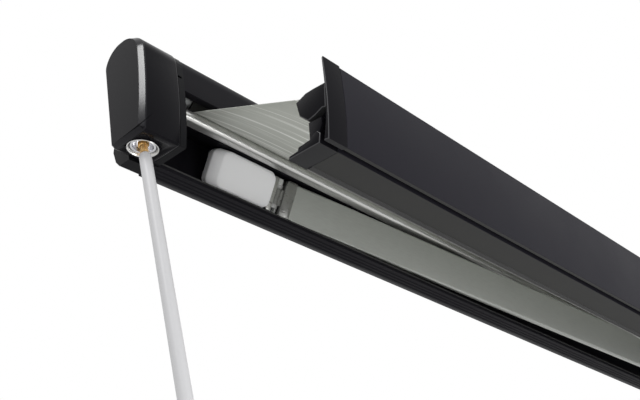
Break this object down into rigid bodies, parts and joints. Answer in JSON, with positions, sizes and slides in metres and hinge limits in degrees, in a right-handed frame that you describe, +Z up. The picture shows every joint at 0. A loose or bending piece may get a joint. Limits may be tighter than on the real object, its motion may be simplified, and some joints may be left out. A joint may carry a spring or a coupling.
{
  "type": "roll out awning",
  "caption": "Wall cassette awning with a wound fabric, folding arms that carry a lead rail, and a hand crank on a worm gear, shown partly open.",
  "frame": {"origin": "middle of the cassette's wall face, at the centre height of the wall bolts", "axes": "+X along the awning away from the crank end, +Y into the wall, +Z up"},
  "size_m": [2.7478, 0.5813, 1.4672],
  "materials": {
    "anthracite_aluminium": "satin",
    "bright_aluminium": "satin",
    "arm_aluminium": "satin anodised",
    "cast_aluminium": "cast and tumbled",
    "black_plastic": "fine moulded grain",
    "pale_plastic": "moulded",
    "seal_rubber": "matt",
    "polished_steel": "polished",
    "tube_steel": "galvanised",
    "hook_brass": "polished",
    "white_tube": "gloss",
    "awning_fabric": "woven, fine stripes"
  },
  "bodies": {
    "cassette": {"casing": "anthracite_aluminium", "fabric_guide": "bright_aluminium", "left_end_plate": "black_plastic", "right_end_plate": "black_plastic", "winder_cover": "black_plastic", "idler_cover": "black_plastic", "eye_collar": "polished_steel", "roller_bushes": "pale_plastic", "support_blocks": "pale_plastic", "cover_screws": "polished_steel", "lip_seal": "seal_rubber", "left_shoulder_bracket": "cast_aluminium", "right_shoulder_bracket": "cast_aluminium", "left_shoulder_cover": "pale_plastic", "right_shoulder_cover": "pale_plastic", "shoulder_pins": "polished_steel", "bracket_screws": "polished_steel"},
    "roller": {"roller_tube": "tube_steel", "wound_fabric": "awning_fabric", "winder_plug": "cast_aluminium", "idler_plug": "cast_aluminium", "worm_wheel": "hook_brass"},
    "winding_shaft": {"worm_shaft": "polished_steel"},
    "crank": {"crank_hook": "hook_brass", "crank_rod": "white_tube", "crank_bend": "white_tube"},
    "rod_sleeve": {"rod_grip": "black_plastic"},
    "handle_sleeve": {"handle_grip": "black_plastic"},
    "left_upper_arm": {"left_upper_profile": "arm_aluminium", "left_upper_knuckle": "cast_aluminium", "left_elbow_fork": "cast_aluminium", "left_elbow_pin": "polished_steel"},
    "left_forearm": {"left_fore_profile": "arm_aluminium", "left_elbow_eye": "cast_aluminium", "left_wrist_eye": "cast_aluminium"},
    "right_upper_arm": {"right_upper_profile": "arm_aluminium", "right_upper_knuckle": "cast_aluminium", "right_elbow_fork": "cast_aluminium", "right_elbow_pin": "polished_steel"},
    "right_forearm": {"right_fore_profile": "arm_aluminium", "right_elbow_eye": "cast_aluminium", "right_wrist_eye": "cast_aluminium"},
    "lead_rail": {"lead_profile": "anthracite_aluminium", "lead_cap_left": "black_plastic", "lead_cap_right": "black_plastic", "left_wrist_bracket": "cast_aluminium", "right_wrist_bracket": "cast_aluminium", "wrist_pins": "polished_steel", "lip_strip": "seal_rubber", "fabric": "awning_fabric"},
    "fabric_run": {"fabric_tail": "awning_fabric"}
  },
  "joints": [
    {"name": "left_shoulder", "type": "hinge", "parent": "cassette", "child": "left_upper_arm", "pos_m": [-1.04, -0.02117, -0.00899], "axis": [0, 0.3907, -0.9205], "range_deg": [-6.83, 60], "deforming": ["fabric", "fabric_tail"]},
    {"name": "left_elbow", "type": "hinge", "parent": "left_upper_arm", "child": "left_forearm", "pos_m": [-0.04322, -0.13927, -0.05912], "axis": [0, 0.3907, -0.9205], "range_deg": [-121, 14.67]},
    {"name": "left_wrist", "type": "hinge", "parent": "left_forearm", "child": "lead_rail", "pos_m": [-1.04, -0.25737, -0.10925], "axis": [0, 0.3907, -0.9205], "range_deg": [-7.83, 61]},
    {"name": "right_shoulder", "type": "hinge", "parent": "cassette", "child": "right_upper_arm", "pos_m": [1.04, -0.02117, -0.00899], "axis": [0, -0.3907, 0.9205], "range_deg": [-7.83, 61]},
    {"name": "right_elbow", "type": "hinge", "parent": "right_upper_arm", "child": "right_forearm", "pos_m": [0.04322, -0.13927, -0.05912], "axis": [0, -0.3907, 0.9205], "range_deg": [-121, 14.67]},
    {"name": "fabric_feed", "type": "slide", "parent": "lead_rail", "child": "fabric_run", "axis": [0, 0.9205, 0.3907], "range_m": [-0.3, 1.75]},
    {"name": "roller_turn", "type": "hinge", "parent": "cassette", "child": "roller", "pos_m": [-1, -0.0368, 0.058], "axis": [1, 0, 0], "continuous": true},
    {"name": "winding_turn", "type": "hinge", "parent": "cassette", "child": "winding_shaft", "pos_m": [-1.275, -0.068, 0], "axis": [0, 0, 1], "continuous": true},
    {"name": "crank_swing", "type": "hinge", "parent": "winding_shaft", "child": "crank", "pos_m": [-1.275, -0.068, -0.055], "axis": [-1, 0, 0], "range_deg": [-21, 14]},
    {"name": "rod_grip_turn", "type": "hinge", "parent": "crank", "child": "rod_sleeve", "pos_m": [-1.275, -0.42637, -0.98858], "axis": [0, 0.3584, 0.9336], "continuous": true},
    {"name": "handle_grip_turn", "type": "hinge", "parent": "crank", "child": "handle_sleeve", "pos_m": [-1.435, -0.42637, -0.98858], "axis": [0, 0.3584, 0.9336], "continuous": true}
  ],
  "couplings": [
    {"joint": "left_elbow", "follows": "left_shoulder", "ratio": -2},
    {"joint": "left_wrist", "follows": "left_shoulder", "ratio": 1},
    {"joint": "right_shoulder", "follows": "left_shoulder", "ratio": 1},
    {"joint": "right_elbow", "follows": "left_shoulder", "ratio": -2},
    {"joint": "fabric_feed", "follows": "left_shoulder", "m_per_rad": 1.5261},
    {"joint": "winding_turn", "follows": "roller_turn", "ratio": 19}
  ]
}
